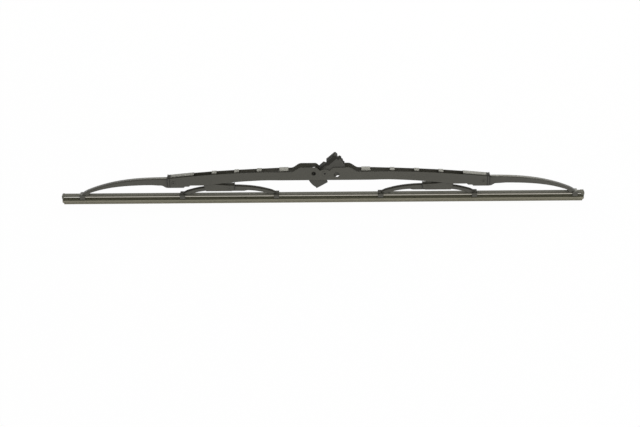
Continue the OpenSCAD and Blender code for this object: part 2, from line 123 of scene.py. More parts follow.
class WiperStripSizes(bpy.types.PropertyGroup):
    """Sizes of the rubber strip and the splines. Heights run up from the wiping edge."""

    lip_half: length("Lip half width", "Half the width of the wiping lip", 0.35 * MM)
    lip_height: length("Lip height", "Height of the thin lip", 1.5 * MM)
    flare_half: length("Flare half width", "Half the width halfway up the flare", 1.16 * MM)
    flare_height: length("Flare height", "Height where the flare is that wide", 2.445 * MM)
    shoulder_height: length("Shoulder", "Height where the body is full width", 3.6 * MM)
    body_half: length("Body half width", "Half the width of the wiping body", 2.9 * MM)
    body_top: length("Body top", "Height of the body's upper face", 5.95 * MM)
    neck_half: length("Neck half width", "Half the width of the bending neck", 0.6 * MM)
    neck_top: length("Neck top", "Height where the neck meets the barb", 6.55 * MM)
    barb_half: length("Barb half width", "Half the width of the barb", 2.5 * MM)
    barb_top: length("Barb top", "Height of the barb's upper face", 7.6 * MM)
    draft: length("Draft", "Slant of the faces beside the neck", 0.1 * MM)
    claw_groove: length("Claw groove", "Height of the groove that the claws grip", 1.5 * MM)
    flange_half: length("Flange half width", "Half the width of the head", 3.1 * MM)
    shelf: length("Shelf", "Thickness of the flange under the splines", 1.2 * MM)
    core_half: length("Core half width", "Half the rubber between the splines", 0.8 * MM)
    waist_half: length("Waist half width", "Half the rubber between the claws", 1.2 * MM)
    trim_back: length("Trim back", "How far the lip is cut back at the ends", 1.3 * MM)
    trim_high: length("Trim height", "How high the cut at the ends runs", 4.0 * MM)
    tongue: length("Tongue", "Length of the tongues between the strip's lengths", 0.8 * MM)
    tongue_inset: length("Tongue inset", "How far in a tongue stays", 0.15 * MM)
    corner: length("Corner", "Radius of the moulded corners", 0.16 * MM)
    cell: length("Cell", "Length of one mesh cell along the strip", 7 * MM)
    block_left: length("Left block", "Length of the closed left end", 2.3 * MM)
    block_right: length("Right block", "Length of the closed right end", 4 * MM)
    block_rise: length("Block rise", "How far the ends stand above the head", 0.12 * MM)
    block_round: length("Block rounding", "Rounding of the ends' upper edges", 0.9 * MM)
    block_corner: length("Block corner", "Rounding of the ends' other edges", 0.2 * MM)
    spline_corner: length("Spline corner", "Radius of the splines' rolled edges", 0.22 * MM)


class WiperFinish(bpy.types.PropertyGroup):
    """Colours and edge sizes of the finishes."""

    paint: colour("Frame paint", "Satin black coat of the pressed frame", (0.053, 0.051, 0.039))
    paint_worn: colour("Handled paint", "Lighter patches of the coat", (0.063, 0.06, 0.047))
    # a darker coat: painted shade that keeps the sheet's edges, the bridge's rim tops and the yoke
    # tops under the bridge from catching light
    edge_shade_paint: colour("Edge paint", "Coat on the cut edges", (0.022, 0.021, 0.016))
    plastic: colour("Plastic", "Moulded adapter", (0.07, 0.068, 0.06))
    plastic_pale: colour("Pale plastic", "Lighter patches of plastic", (0.082, 0.08, 0.071))
    liner: colour("Liner plastic", "Moulded liners of the joints", (0.02, 0.019, 0.016))
    liner_pale: colour("Pale liner", "Lighter patches of the liners", (0.03, 0.029, 0.025))
    # far darker than the plastic: painted shade on the grip's upper layer
    pad: colour("Pad", "Ribbed grip of the adapter", (0.026, 0.025, 0.021))
    rubber: colour("Rubber", "Head of the wiping strip", (0.115, 0.112, 0.09))
    rubber_bloom: colour("Rubber bloom", "Pale bloom on the head", (0.14, 0.137, 0.112))
    # darker rubber: painted shade on the neck, the barb and the claw groove under the strip's head
    groove: colour("Groove", "Rubber inside the grooves", (0.072, 0.07, 0.045))
    groove_bloom: colour("Groove bloom", "Pale bloom in the grooves", (0.09, 0.088, 0.058))
    lip: colour("Lip", "Wiping body below the neck", (0.204, 0.193, 0.144))
    lip_bloom: colour("Lip bloom", "Pale bloom on the wiping body", (0.238, 0.224, 0.171))
    steel: colour("Spring steel", "Rolled splines", (0.2, 0.193, 0.163))
    steel_dark: colour("Dark steel", "Rolling streaks in the splines", (0.12, 0.116, 0.095))
    # much brighter than the steel: bare ends, with a painted highlight where they catch the light
    steel_bare_and_highlight: colour("Bare steel", "Ends of the splines past the claws", (0.75, 0.74, 0.68))
    # the rims' tops outside this take the edge coat's painted shade
    rim: length("Rim", "How far from the middle the bridge's outer rim begins", 3.9 * MM)
    # the painted shade of a rivet's dimple stays inside this radius
    dimple: length("Dimple", "Radius round a rivet's middle that its dimple stays in", 1.2 * MM)
    sheet_edge: length("Sheet edge", "Rounding of the pressed sheet's edges", 0.38 * MM)
    moulded_edge: length("Moulded edge", "Rounding of the moulded edges", 0.2 * MM)


class WiperStudio(bpy.types.PropertyGroup):
    """Camera, lamps and floor."""

    distance: length("Distance", "From the camera to the adapter pivot", 1.6)
    elevation: FloatProperty(
        name="Elevation",
        description="Angle of the camera above the floor",
        default=math.radians(25),
        subtype="ANGLE",
    )
    roll: FloatProperty(
        name="Roll",
        description="Turn of the camera about its line of sight",
        default=math.radians(-0.43),
        subtype="ANGLE",
    )
    lens: FloatProperty(
        name="Lens", description="Focal length, in millimetres", default=78.8, unit="CAMERA"
    )
    pivot_right: FloatProperty(
        name="Pivot right",
        description="How far right of the picture's middle the pivot shows, in its width",
        default=PIVOT_RIGHT / PHOTO_WIDTH,
    )
    pivot_up: FloatProperty(
        name="Pivot up",
        description="How far above the picture's middle the pivot shows, in its width",
        default=PIVOT_UP / PHOTO_WIDTH,
    )
    ambient: FloatProperty(
        name="Ambient", description="Strength of the light from the sides", default=0.96, min=0.0
    )
    overhead: FloatProperty(
        name="Overhead", description="Strength of the light from above", default=0.55, min=0.0
    )


def settings():
    """The blade's settings in this scene."""
    return bpy.context.scene.wiper


class WiperSettings(bpy.types.PropertyGroup):
    """All settings of the blade."""

    strip: PointerProperty(
        type=WiperStripSizes, name="Strip", description="Rubber strip and splines"
    )
    finish: PointerProperty(
        type=WiperFinish, name="Finish", description="Colours and edges of the finishes"
    )
    studio: PointerProperty(
        type=WiperStudio, name="Studio", description="Camera, lamps and floor"
    )


# nodes of the shaders


def add_node(tree, kind, values=None, **options):
    """Adds a node, sets its named inputs from values and its own options."""
    made = tree.nodes.new(kind)
    for name, value in options.items():
        setattr(made, name, value)
    for name, value in (values or {}).items():
        made.inputs[name].default_value = value
    return made


def compute(tree, operation, *terms):
    """The output of a math node; each term is a number or another node's output."""
    made = add_node(tree, "ShaderNodeMath", operation=operation)
    for socket, term in zip(made.inputs, terms):
        if isinstance(term, bpy.types.NodeSocket):
            tree.links.new(term, socket)
        else:
            socket.default_value = term
    return made.outputs["Value"]


def separate(tree, vector):
    """The X, Y and Z outputs of a vector."""
    split = add_node(tree, "ShaderNodeSeparateXYZ")
    tree.links.new(vector, split.inputs["Vector"])
    return split.outputs


def noise(tree, place, scale, detail, roughness):
    """The output of a noise; its place and scale are other nodes' outputs."""
    made = add_node(tree, "ShaderNodeTexNoise", {"Detail": detail, "Roughness": roughness})
    tree.links.new(place, made.inputs["Vector"])
    tree.links.new(scale, made.inputs["Scale"])
    return made.outputs["Fac"]


def stretched(tree, value, low, high, contrast):
    """A value's stretch from low to high, spread over 0 to 1 and scaled by a contrast."""
    spread = add_node(tree, "ShaderNodeMapRange", {"From Min": low, "From Max": high})
    tree.links.new(value, spread.inputs["Value"])
    return compute(tree, "MULTIPLY", spread.outputs["Result"], contrast)


def colour_mix(tree, factor, first, second):
    """The output of a mix of two colours; the first may be another node's output."""
    blend = add_node(tree, "ShaderNodeMix", data_type="RGBA")
    ends = [socket for socket in blend.inputs if socket.type == "RGBA"]
    if isinstance(first, bpy.types.NodeSocket):
        tree.links.new(first, ends[0])
    else:
        ends[0].default_value = (*first, 1.0)
    ends[1].default_value = (*second, 1.0)
    tree.links.new(factor, blend.inputs["Factor"])
    return next(socket for socket in blend.outputs if socket.type == "RGBA")


def new_group(name, inputs, outputs):
    """An empty shader group with float sockets; inputs are (name, default) pairs."""
    group = bpy.data.node_groups.new(name, "ShaderNodeTree")
    for label, default in inputs:
        socket = group.interface.new_socket(
            name=label, in_out="INPUT", socket_type="NodeSocketFloat"
        )
        socket.default_value = default
    for label in outputs:
        group.interface.new_socket(
            name=label, in_out="OUTPUT", socket_type="NodeSocketFloat"
        )
    given = group.nodes.new("NodeGroupInput").outputs
    result = group.nodes.new("NodeGroupOutput").inputs
    return group, given, result


def coat_group():
    """Fine orange peel and broad handling patches, for coated and moulded pieces."""
    group, given, result = new_group(
        "coat_texture",
        [("Grain Scale", 2500.0), ("Patch Scale", 45.0), ("Contrast", 0.5)],
        ["Height", "Patches"],
    )
    place = add_node(group, "ShaderNodeTexCoord").outputs["Object"]
    grain = noise(group, place, given["Grain Scale"], detail=2.0, roughness=0.6)
    patch = noise(group, place, given["Patch Scale"], detail=5.0, roughness=0.55)
    patches = stretched(group, patch, low=0.35, high=0.65, contrast=given["Contrast"])
    group.links.new(grain, result["Height"])
    group.links.new(patches, result["Patches"])
    return group


def drawn_group():
    """Fine lines along the blade, as rolling or extrusion leaves them."""
    group, given, result = new_group(
        "drawn_texture",
        [("Line Scale", 1500.0), ("Patch Scale", 12.0), ("Contrast", 0.6)],
        ["Height", "Streaks"],
    )
    place = add_node(group, "ShaderNodeTexCoord").outputs["Object"]
    stretch = add_node(group, "ShaderNodeMapping", {"Scale": (0.015, 1.0, 1.0)})
    group.links.new(place, stretch.inputs["Vector"])
    lines = noise(
        group, stretch.outputs["Vector"], given["Line Scale"], detail=3.0, roughness=0.7
    )
    patch = noise(group, place, given["Patch Scale"], detail=4.0, roughness=0.6)
    both = compute(group, "ADD", lines, patch)
    streaks = stretched(group, both, low=0.75, high=1.25, contrast=given["Contrast"])
    group.links.new(lines, result["Height"])
    group.links.new(streaks, result["Streaks"])
    return group


def grip_shade_group():
    """Mask of the painted shade on the adapter's grip: its upper layer, thicker from the nose to
    the free end.
    """
    group, given, result = new_group(
        "grip_shade_mask",
        [("Lean", ADAPTER_LEAN), ("Nose", 5.9 * MM), ("Pad", 4.25 * MM), ("Start", 8.6 * MM)],
        ["Grip Shade"],
    )
    place = add_node(group, "ShaderNodeTexCoord").outputs["Object"]
    level = add_node(group, "ShaderNodeVectorRotate", rotation_type="Y_AXIS")
    group.links.new(place, level.inputs["Vector"])
    group.links.new(given["Lean"], level.inputs["Angle"])
    split = separate(group, level.outputs["Vector"])
    lower = add_node(group, "ShaderNodeMapRange")
    past = compute(group, "GREATER_THAN", split["X"], given["Start"])
    group.links.new(past, lower.inputs["Value"])
    group.links.new(given["Nose"], lower.inputs["To Min"])
    group.links.new(given["Pad"], lower.inputs["To Max"])
    above = compute(group, "GREATER_THAN", split["Z"], lower.outputs["Result"])
    group.links.new(above, result["Grip Shade"])
    return group


def collar_group():
    """Mask at each end of the bridge: a dark line round it, and its top outside that line."""
    group, given, result = new_group(
        "collar_mask",
        [
            ("Middle", (BRIDGE_LOW.x + BRIDGE_HIGH.x) / 2),
            ("Half", (BRIDGE_HIGH.x - BRIDGE_LOW.x) / 2),
            ("Line", 2.2 * MM),
            ("Line Half", 0.5 * MM),
            ("Cap", 3.2 * MM),
        ],
        ["Collar"],
    )
    place = add_node(group, "ShaderNodeTexCoord").outputs
    along = compute(group, "SUBTRACT", separate(group, place["Object"])["X"], given["Middle"])
    inward = compute(group, "SUBTRACT", given["Half"], compute(group, "ABSOLUTE", along))
    line = compute(group, "COMPARE", inward, given["Line"], given["Line Half"])
    near = compute(group, "LESS_THAN", inward, given["Cap"])
    top = compute(group, "GREATER_THAN", separate(group, place["Normal"])["Z"], LEVEL)
    cap = compute(group, "MULTIPLY", near, top)
    group.links.new(compute(group, "MAXIMUM", line, cap), result["Collar"])
    return group


def tint_by_mask(material, group, output, tint, rough=None):
    """Lays one colour, and one roughness if given, over a material where a mask is on."""
    tree = material.node_tree
    shader = tree.nodes["Principled BSDF"]
    mask = add_node(tree, "ShaderNodeGroup", node_tree=group).outputs[output]
    base = shader.inputs["Base Color"]
    tree.links.new(colour_mix(tree, mask, base.links[0].from_socket, tint), base)
    if rough is not None:
        dull = shader.inputs["Roughness"]
        mixed = add_node(tree, "ShaderNodeMix", {"B": rough}, data_type="FLOAT")
        tree.links.new(mask, mixed.inputs["Factor"])
        tree.links.new(dull.links[0].from_socket, mixed.inputs["A"])
        tree.links.new(mixed.outputs["Result"], dull)
    return material


def finish_material(name, group, mask, colours, rough, values, relief, shader_values):
    """A material that varies colour and roughness by a group's mask and bumps by its height.

    colours and rough are the two ends that the mask runs between.
    """
    material = bpy.data.materials.new(name)
    material.use_nodes = True
    tree = material.node_tree
    link = tree.links.new
    shader = tree.nodes["Principled BSDF"]
    for socket, value in shader_values.items():
        shader.inputs[socket].default_value = value
    texture = add_node(tree, "ShaderNodeGroup", node_tree=group)
    for socket, value in values.items():
        texture.inputs[socket].default_value = value
    link(colour_mix(tree, texture.outputs[mask], *colours), shader.inputs["Base Color"])
    dull = add_node(tree, "ShaderNodeMapRange", {"To Min": rough[0], "To Max": rough[1]})
    link(texture.outputs[mask], dull.inputs["Value"])
    link(dull.outputs["Result"], shader.inputs["Roughness"])
    bump = add_node(tree, "ShaderNodeBump", {"Strength": 0.35, "Distance": relief})
    link(texture.outputs["Height"], bump.inputs["Height"])
    link(bump.outputs["Normal"], shader.inputs["Normal"])
    return material


def once(name, make, *details):
    """The material of that name, made on first use."""
    return bpy.data.materials.get(name) or make(name, *details)


def texture_group(name, make):
    """The node group of that name, made on first use."""
    return bpy.data.node_groups.get(name) or make()


def coated(name, colours, rough, scales, relief, shader_values):
    """Painted or moulded finish."""
    return finish_material(
        name,
        texture_group("coat_texture", coat_group),
        "Patches",
        colours,
        rough,
        {"Grain Scale": scales[0], "Patch Scale": scales[1]},
        relief,
        shader_values,
    )


def drawn(name, colours, rough, scale, relief, shader_values):
    """Rolled or extruded finish."""
    return finish_material(
        name,
        texture_group("drawn_texture", drawn_group),
        "Streaks",
        colours,
        rough,
        {"Line Scale": scale},
        relief,
        shader_values,
    )


def frame_paint(name):
    """Satin black powder coat."""
    finish = settings().finish
    return coated(
        name,
        colours=(finish.paint, finish.paint_worn),
        rough=(0.38, 0.46),
        scales=(1800, 40),
        relief=0.006 * MM,
        shader_values={"IOR": 1.5},
    )


def bridge_paint(name):
    """The frame's coat, with a dark collar at each end of the bridge."""
    group = texture_group("collar_mask", collar_group)
    return tint_by_mask(
        frame_paint(name), group, "Collar", tint=settings().finish.liner, rough=0.8
    )


def edge_shade_paint(name):
    """The same coat, darker and duller: painted shade where it runs over the sheet's edges, the
    bridge's rim tops and the yoke tops under the bridge.
    """
    finish = settings().finish
    return coated(
        name,
        colours=(finish.edge_shade_paint, finish.paint),
        rough=(0.6, 0.7),
        scales=(1800, 90),
        relief=0.01 * MM,
        shader_values={"IOR": 1.5, "Specular IOR Level": 0.12},
    )


def moulded_plastic(name):
    """Matt moulded plastic, darkened on the adapter's grip as painted shade."""
    finish = settings().finish
    material = coated(
        name,
        colours=(finish.plastic, finish.plastic_pale),
        rough=(0.55, 0.68),
        scales=(2600, 60),
        relief=0.03 * MM,
        shader_values={"IOR": 1.46, "Specular IOR Level": 0.12},
    )
    return tint_by_mask(material, texture_group("grip_shade_mask", grip_shade_group), "Grip Shade", tint=finish.pad)


def liner_plastic(name):
    """Dark, dull plastic that the joints run in."""
    finish = settings().finish
    return coated(
        name,
        colours=(finish.liner, finish.liner_pale),
        rough=(0.5, 0.62),
        scales=(2600, 60),
        relief=0.03 * MM,
        shader_values={"IOR": 1.45},
    )


def rubber_tone(name, colours):
    """Extruded rubber with a faint bloom."""
    return drawn(
        name,
        colours,
        rough=(0.62, 0.72),
        scale=1400,
        relief=0.01 * MM,
        shader_values={"IOR": 1.5, "Specular IOR Level": 0.2},
    )


def strip_rubbers():
    """The strip's three tones: its head, painted shade inside its grooves and its wiping body."""
    finish = settings().finish
    return [
        once("head_rubber", rubber_tone, (finish.rubber, finish.rubber_bloom)),
        once("groove_shade_rubber", rubber_tone, (finish.groove, finish.groove_bloom)),
        once("lip_rubber", rubber_tone, (finish.lip, finish.lip_bloom)),
    ]


def rolled_steel(name, colours):
    """Rolled spring steel."""
    return drawn(
        name,
        colours,
        rough=(0.26, 0.42),
        scale=2600,
        relief=0.008 * MM,
        shader_values={"Metallic": 0.85, "IOR": 1.5},
    )


def spline_steels():
    """The splines' dull length and their bare ends, which also carry a painted highlight."""
    finish = settings().finish
    return [
        once("spring_steel", rolled_steel, (finish.steel, finish.steel_dark)),
        once("bare_steel_and_highlight", rolled_steel, (finish.steel_bare_and_highlight, finish.steel)),
    ]


# meshes


def collect(piece_name, shape, closed=True):
    """Turns a bmesh into an object at the origin; a closed one gets its faces turned out."""
    if closed:
        bmesh.ops.recalc_face_normals(shape, faces=shape.faces)
    mesh = bpy.data.meshes.new(piece_name)
    shape.to_mesh(mesh)
    shape.free()
    piece = bpy.data.objects.new(piece_name, mesh)
    bpy.context.collection.objects.link(piece)
    return piece


def shade(piece, angle=35):
    """Smooth shading, with edges sharper than the angle kept crisp."""
    mesh = piece.data
    mesh.shade_smooth()
    mesh.set_sharp_from_angle(angle=math.radians(angle))


def tone_faces(piece, finishes, choose):
    """Gives a piece several finishes; choose picks one for each face from its middle."""
    for finish in finishes:
        piece.data.materials.append(finish)
    for face in piece.data.polygons:
        face.material_index = choose(face.center)


def strip_tone(middle):
    """Which of the strip's tones a face has: head, the grooves' painted shade, or wiping body."""
    if middle.z > SPLINE_LOW.z - NEAR / 2:
        return 0
    return 1 if middle.z > RUBBER_LOW.z + settings().strip.body_top + NEAR / 2 else 2


def spline_tone(middle):
    """Which of the splines' finishes a face has: dull to the end claws, and past them bare steel
    with a painted highlight.
    """
    return 0 if CLAWS[0] - CLAW_HALF < middle.x < CLAWS[5] + CLAW_HALF else 1


def edge_span(edge, axis):
    """How far an edge of a bmesh reaches along an axis."""
    first, last = (getattr(corner.co, axis) for corner in edge.verts)
    return abs(first - last)


def round_off(shape, geom, offset, affect, segments):
    """Rounds the given vertices or edges of a bmesh."""
    bmesh.ops.bevel(
        shape,
        geom=geom,
        offset=offset,
        affect=affect,
        segments=segments,
        profile=0.5,
        material=-1,
    )


def section_bar(section, start, end, corner, cell):
    """A bar along X with the given (y, z) section, its corners rounded, in short cells."""
    shape = bmesh.new()
    ring = [shape.verts.new((start, y, z)) for y, z in section]
    shape.faces.new(ring)
    round_off(shape, shape.verts[:], corner, "VERTICES", segments=2)
    grown = bmesh.ops.extrude_face_region(shape, geom=shape.faces[:], use_keep_orig=True)
    moved = [part for part in grown["geom"] if isinstance(part, bmesh.types.BMVert)]
    bmesh.ops.translate(shape, vec=(end - start, 0, 0), verts=moved)
    half_way = (end - start) / 2
    along = [edge for edge in shape.edges if edge_span(edge, "x") > half_way]
    cuts = max(1, round((end - start) / cell) - 1)
    bmesh.ops.subdivide_edges(shape, edges=along, cuts=cuts, use_grid_fill=True)
    return shape


def add_tongues(shape, start, end):
    """Thinner tongues on both ends of a bar, which fill the joint when its neighbours turn."""
    strip = settings().strip
    for end_x, side in ((start, -1), (end, 1)):
        caps = [
            face
            for face in shape.faces
            if all(abs(corner.co.x - end_x) < NEAR for corner in face.verts)
        ]
        bmesh.ops.inset_region(
            shape,
            faces=caps,
            thickness=strip.tongue_inset,
            use_even_offset=True,
            use_boundary=True,
        )
        grown = bmesh.ops.extrude_discrete_faces(shape, faces=caps)
        moved = [corner for face in grown["faces"] for corner in face.verts]
        bmesh.ops.translate(shape, vec=(side * strip.tongue, 0, 0), verts=moved)


def rubber_section():
    """Right half of the rubber's section, from the lip up, then the mirrored left half."""
    strip = settings().strip
    edge = RUBBER_LOW.z
    groove = edge + strip.barb_top
    shelf_low = groove + strip.claw_groove
    slot_low = SPLINE_LOW.z
    slot_high = SPLINE_HIGH.z
    half = [
        (strip.lip_half, edge),
        (strip.lip_half, edge + strip.lip_height),
        (strip.flare_half, edge + strip.flare_height),
        (strip.body_half, edge + strip.shoulder_height),
        (strip.body_half, edge + strip.body_top),
        (strip.neck_half, edge + strip.body_top + strip.draft),
        (strip.neck_half, edge + strip.neck_top),
        (strip.barb_half, edge + strip.neck_top + strip.draft),
        (strip.barb_half, groove),
        (strip.waist_half, groove),
        (strip.waist_half, shelf_low),
        (strip.flange_half, shelf_low),
        (strip.flange_half, slot_low),
        (strip.core_half, slot_low),
        (strip.core_half, slot_high),
        (strip.flange_half, slot_high),
        (strip.flange_half, RUBBER_HIGH.z),
    ]
    return half + [(-y, z) for y, z in reversed(half)]


def cut_lip_corner(shape, end_x, side):
    """Cuts the lower corner of the strip off at its end, as the strip is trimmed."""
    strip = settings().strip
    at = Vector((end_x - side * strip.trim_back, 0, RUBBER_LOW.z))
    along = Vector((side * strip.trim_back, 0, strip.trim_high)).normalized()
    out = Vector((side * along.z, 0, -side * along.x))
    cut = bmesh.ops.bisect_plane(
        shape,
        geom=shape.verts[:] + shape.edges[:] + shape.faces[:],
        plane_co=at,
        plane_no=out,
        clear_outer=True,
    )
    edges = [part for part in cut["geom_cut"] if isinstance(part, bmesh.types.BMEdge)]
    bmesh.ops.holes_fill(shape, edges=edges, sides=0)


def end_block(piece_name, start, end):
    """Closed moulded end of the strip that stops the splines."""
    strip = settings().strip
    low = SPLINE_LOW.z - strip.shelf
    high = RUBBER_HIGH.z + strip.block_rise
    shape = bmesh.new()
    bmesh.ops.create_cube(shape, size=1.0)
    bmesh.ops.scale(shape, vec=(end - start, 2 * SPLINE_HIGH.y, high - low), verts=shape.verts)
    bmesh.ops.translate(
        shape, vec=((start + end) / 2, 0, (low + high) / 2), verts=shape.verts
    )
    upper = [
        edge
        for edge in shape.edges
        if all(corner.co.z > high - NEAR for corner in edge.verts) and edge_span(edge, "y") < NEAR
    ]
    round_off(shape, upper, strip.block_round, "EDGES", segments=3)
    sharp = [edge for edge in shape.edges if edge.calc_face_angle(0) > CORNER_TURN]
    round_off(shape, sharp, strip.block_corner, "EDGES", segments=2)
    return collect(piece_name, shape)


def strip_lengths():
    """(name, start, end) of the strip's three lengths: they meet under the middle claws."""
    return [
        ("left", RUBBER_LOW.x, CLAWS[2]),
        ("middle", CLAWS[2], CLAWS[3]),
        ("right", CLAWS[3], RUBBER_HIGH.x),
    ]


def carry_strip(piece, which):
    """Ties the middle length of the strip to the strip's body; the left and right lengths only get
    their placement baked in.
    """
    if which == "middle":
        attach(piece, "strip")
    elif which == "left":
        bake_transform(piece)
    else:
        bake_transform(piece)


def round_edges(piece, width, edge_finish=None):
    """Joins a CAD node's loose triangles and rounds its sharp edges, with modifiers."""
    mesh = piece.data
    if mesh.attributes.get("custom_normal"):
        mesh.attributes.remove(mesh.attributes["custom_normal"])
    mesh.shade_smooth()
    weld = piece.modifiers.new("join_triangles", "WELD")
    weld.merge_threshold = 0.002 * MM
    bevel = piece.modifiers.new("round_edges", "BEVEL")
    bevel.width = width
    bevel.segments = 2
    bevel.limit_method = "ANGLE"
    bevel.angle_limit = math.radians(38)
    bevel.miter_outer = "MITER_ARC"
    bevel.harden_normals = True
    if edge_finish:
        mesh.materials.append(edge_finish)
        bevel.material = 1


def dress(node_names, finish, width, edge_finish=None):
    """Gives CAD nodes their finish and rounded edges."""
    for name in node_names:
        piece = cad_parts[name]
        piece.data.materials.clear()
        piece.data.materials.append(finish)
        round_edges(piece, width, edge_finish)


def of_both_rings(kind):
    """Names of the four pieces of that kind, in the outer and the inner ring of yokes."""
    return [f"{ring}_{kind}_{side}" for ring in RINGS for side in SIDES]


class WiperStep:
    """What the blade's operators share."""

    bl_options = {"REGISTER", "UNDO"}


class WIPER_OT_rubber_strip(WiperStep, bpy.types.Operator):
    """Extrudes the rubber strip in three lengths and closes its ends"""

    bl_idname = "wiper.rubber_strip"
    bl_label = "Rubber strip"

    def execute(self, context):
        strip = settings().strip
        rubbers = strip_rubbers()
        pieces = []
        for which, start, end in strip_lengths():
            shape = section_bar(rubber_section(), start, end, strip.corner, strip.cell)
            if which == "left":
                cut_lip_corner(shape, RUBBER_LOW.x, -1)
            elif which == "right":
                cut_lip_corner(shape, RUBBER_HIGH.x, 1)
            else:
                add_tongues(shape, start, end)
            piece = collect(f"rubber_{which}", shape)
            shade(piece)
            tone_faces(piece, rubbers, strip_tone)
            carry_strip(piece, which)
            pieces.append(piece)
        ends = [
            ("left", RUBBER_LOW.x, RUBBER_LOW.x + strip.block_left),
            ("right", RUBBER_HIGH.x - strip.block_right, RUBBER_HIGH.x),
        ]
        for which, start, end in ends:
            block = end_block(f"rubber_end_{which}", start, end)
            shade(block)
            block.data.materials.append(rubbers[0])
            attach(block, f"outer_yoke_{which}")
            pieces.append(block)
        for piece in pieces:
            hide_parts("wiper_rubber")
        return {"FINISHED"}


class WIPER_OT_splines(WiperStep, bpy.types.Operator):
    """Rolls the two steel splines, each in three lengths"""

    bl_idname = "wiper.splines"
    bl_label = "Steel splines"

    def execute(self, context):
        strip = settings().strip
        steels = spline_steels()
        reach = {"left": (strip.block_left, 0), "middle": (0, 0), "right": (0, -strip.block_right)}
        for row, side in (("front", -1), ("back", 1)):
            across = sorted((side * SPLINE_LOW.y, side * SPLINE_HIGH.y))
            section = [
                (across[0], SPLINE_LOW.z),
                (across[1], SPLINE_LOW.z),
                (across[1], SPLINE_HIGH.z),
                (across[0], SPLINE_HIGH.z),
            ]
            for which, start, end in strip_lengths():
                near, far = reach[which]
                shape = section_bar(
                    section, start + near, end + far, strip.spline_corner, strip.cell
                )
                piece = collect(f"spline_{row}_{which}", shape)
                shade(piece)
                tone_faces(piece, steels, spline_tone)
                carry_strip(piece, which)
                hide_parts(f"spline_{row}")
        return {"FINISHED"}


class WIPER_OT_pressed_frame(WiperStep, bpy.types.Operator):
    """Finishes the bridge and the four yokes in satin black, with painted shade on their edges,
    the rims' tops and the yokes' covered tops
    """

    bl_idname = "wiper.pressed_frame"
    bl_label = "Pressed frame"

    def shade_rim_tops(self, bridge):
        """Paints shade on the tops of the bridge's two outer rims, with the edges' dark, dull
        finish.
        """
        rim = settings().finish.rim
        for face in bridge.polygons:
            side = math.copysign(1, face.center.y)
            outside = all(side * bridge.vertices[i].co.y > rim for i in face.vertices)
            if outside and face.normal.z > UPWARD:
                face.material_index = 1

    def shade_covered_tops(self, yoke):
        """Paints the bridge's shadow on a yoke's top between the bridge's ends, with the same dark
        finish as the edges.
        """
        for face in yoke.polygons:
            covered = BRIDGE_LOW.x < face.center.x < BRIDGE_HIGH.x
            if covered and face.normal.z > UPWARD:
                face.material_index = 1

    def execute(self, context):
        yokes = of_both_rings("yoke")
        dress(
            ["primary_bridge", *yokes],
            once("frame_paint", frame_paint),
            settings().finish.sheet_edge,
            once("edge_shade_paint", edge_shade_paint),
        )
        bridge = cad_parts["primary_bridge"].data
        self.shade_rim_tops(bridge)
        for name in yokes:
            self.shade_covered_tops(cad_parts[name].data)
        bridge.materials[0] = once("bridge_paint", bridge_paint)
        return {"FINISHED"}


class WIPER_OT_joints(WiperStep, bpy.types.Operator):
    """Finishes the rivets, with painted shade in their dimples, and the plastic liners of the
    joints
    """

    bl_idname = "wiper.joints"
    bl_label = "Rivets and liners"

    def shade_dimples(self, rivet):
        """Paints shade into the dimples in a rivet's two heads, with the dark finish."""
        low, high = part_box(rivet.name)
        axis = (low + high) / 2
        below_head = high.y - NEAR / 5
        for face in rivet.data.polygons:
            off = face.center - axis
            inside = math.hypot(off.x, off.z) < settings().finish.dimple
            if inside and abs(off.y) < below_head:
                face.material_index = 1

    def execute(self, context):
        rivets = ["centre_rivet", *of_both_rings("rivet")]
        plastic = once("liner_plastic", liner_plastic)
        width = settings().finish.sheet_edge / 2
        dress(rivets, once("frame_paint", frame_paint), width, plastic)
        for name in rivets:
            self.shade_dimples(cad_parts[name])
        dress(of_both_rings("liner"), plastic, width)
        return {"FINISHED"}


class WIPER_OT_adapter(WiperStep, bpy.types.Operator):
    """Finishes the tilting clip adapter"""

    bl_idname = "wiper.adapter"
    bl_label = "Adapter"

    def execute(self, context):
        dress(
            ["adapter"],
            once("moulded_plastic", moulded_plastic),
            settings().finish.moulded_edge,
        )
        return {"FINISHED"}


def white_to_camera(tree, shader, white, share):
    """The output of a mix that shows the camera and gloss that share of the white shader."""
    path = add_node(tree, "ShaderNodeLightPath").outputs
    seen = compute(tree, "MAXIMUM", path["Is Camera Ray"], path["Is Glossy Ray"])
    seen = compute(tree, "MAXIMUM", seen, path["Is Transmission Ray"])
    mix = add_node(tree, "ShaderNodeMixShader")
    tree.links.new(compute(tree, "MULTIPLY", seen, share), mix.inputs["Fac"])
    tree.links.new(shader, mix.inputs[1])
    tree.links.new(white, mix.inputs[2])
    return mix.outputs["Shader"]


def make_floor():
    """Pale floor under the wiping edge, seen as white with the blade's faint shadow.

    From below it is clear.
    """
    shape = bmesh.new()
    bmesh.ops.create_grid(shape, x_segments=4, y_segments=4, size=4.0)
    bmesh.ops.translate(shape, vec=(0, 0, RUBBER_LOW.z - NEAR / 2), verts=shape.verts)
    floor = collect("floor", shape, closed=False)
    material = bpy.data.materials.new("pale_floor")
    material.use_nodes = True
    tree = material.node_tree
    link = tree.links.new
    base = tree.nodes["Principled BSDF"]
    base.inputs["Base Color"].default_value = (0.95, 0.95, 0.95, 1)
    base.inputs["Roughness"].default_value = 0.9
    base.inputs["Specular IOR Level"].default_value = 0.1
    glow = add_node(tree, "ShaderNodeEmission", {"Strength": 1.0})
    top = white_to_camera(tree, base.outputs["BSDF"], glow.outputs["Emission"], share=0.97)
    clear = add_node(tree, "ShaderNodeBsdfTransparent")
    face = add_node(tree, "ShaderNodeNewGeometry")
    see_through = add_node(tree, "ShaderNodeMixShader")
    link(face.outputs["Backfacing"], see_through.inputs["Fac"])
    link(top, see_through.inputs[1])
    link(clear.outputs["BSDF"], see_through.inputs[2])
    link(see_through.outputs["Shader"], tree.nodes["Material Output"].inputs["Surface"])
    floor.data.materials.append(material)


